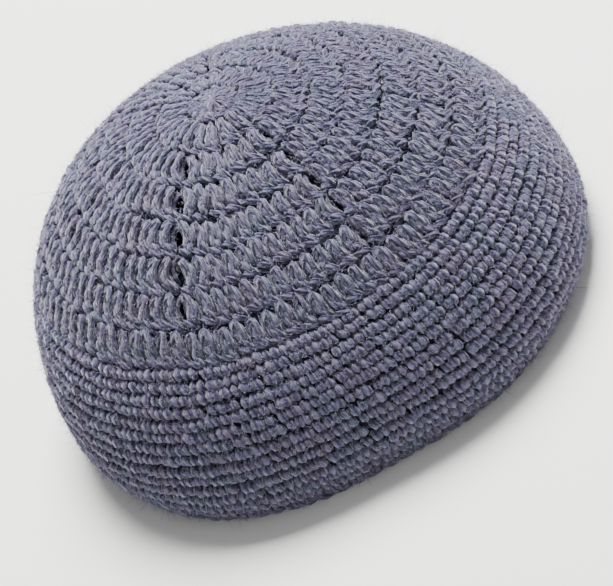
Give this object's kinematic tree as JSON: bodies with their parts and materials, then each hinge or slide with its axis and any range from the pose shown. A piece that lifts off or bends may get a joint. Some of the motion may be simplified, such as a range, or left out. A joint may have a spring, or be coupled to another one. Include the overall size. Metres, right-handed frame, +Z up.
{
  "type": "crocheted prayer cap",
  "caption": "Soft brimless prayer cap, crocheted in rounds from crown to rim, with lines of open stitches on the crown.",
  "frame": {"origin": "on the floor under the middle of the cap's box", "axes": "+X towards the front of the cap, +Y towards its left side, +Z up from the rim"},
  "size_m": [0.1978, 0.178, 0.094],
  "materials": {
    "wool_yarn": "matt crocheted wool"
  },
  "bodies": {
    "root": {"cap": "wool_yarn"}
  },
  "joints": []
}
